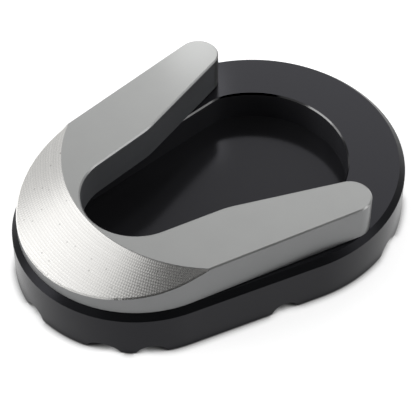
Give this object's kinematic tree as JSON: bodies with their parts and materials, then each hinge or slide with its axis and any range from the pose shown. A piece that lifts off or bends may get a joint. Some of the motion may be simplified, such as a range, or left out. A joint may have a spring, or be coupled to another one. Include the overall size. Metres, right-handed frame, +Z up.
{
  "type": "kickstand foot enlarger",
  "caption": "Two-plate foot enlarger for a motorbike side stand: a black pocketed base with grip grooves and a grey U-shaped clamp plate with a turned ramp, joined by countersunk screws.",
  "frame": {"origin": "on the ground plane, under the middle of the base plate's length and width", "axes": "+X along the plate's length from the narrow nose to the wide tail, +Y across its width, +Z up from the ground face"},
  "size_m": [0.09, 0.0654, 0.02],
  "materials": {
    "black_anodised": "black anodised, satin, with a smooth milled floor",
    "grey_anodised": "grey satin anodised, with a bare turned ramp at the nose",
    "screw_steel": "black oxide"
  },
  "bodies": {
    "root": {"base_plate": "black_anodised", "clamp_plate": "grey_anodised", "clamp_screws": "screw_steel"}
  },
  "joints": []
}
